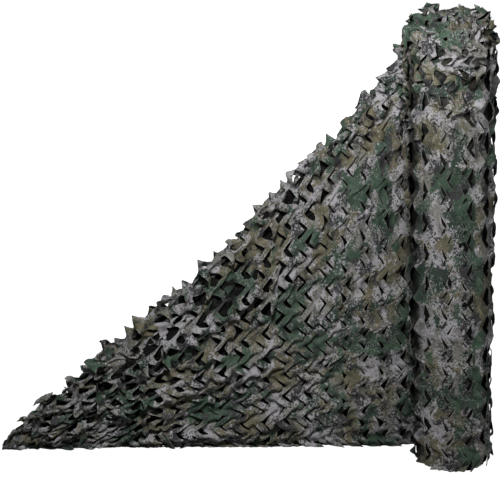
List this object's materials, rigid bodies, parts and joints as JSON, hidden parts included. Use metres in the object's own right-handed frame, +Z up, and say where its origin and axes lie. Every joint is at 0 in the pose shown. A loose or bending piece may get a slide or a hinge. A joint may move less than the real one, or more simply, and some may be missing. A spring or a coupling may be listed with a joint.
{
  "type": "camouflage netting",
  "caption": "Length of chevron-cut camouflage netting: a bulk roll stood on its end, its loose end drawn out to a gathered point on the floor.",
  "frame": {"origin": "on the floor, in the middle of the roll's round foot", "axes": "+Z up along the standing roll, -X along the loose end from the roll to its gathered point, +Y across the thin direction, to the back"},
  "size_m": [1.584, 0.2586, 1.5222],
  "materials": {
    "net_cloth": "matte, mottled grey, green and brown"
  },
  "bodies": {
    "root": {"net_roll": "net_cloth", "net_loose_end": "net_cloth"}
  },
  "joints": []
}
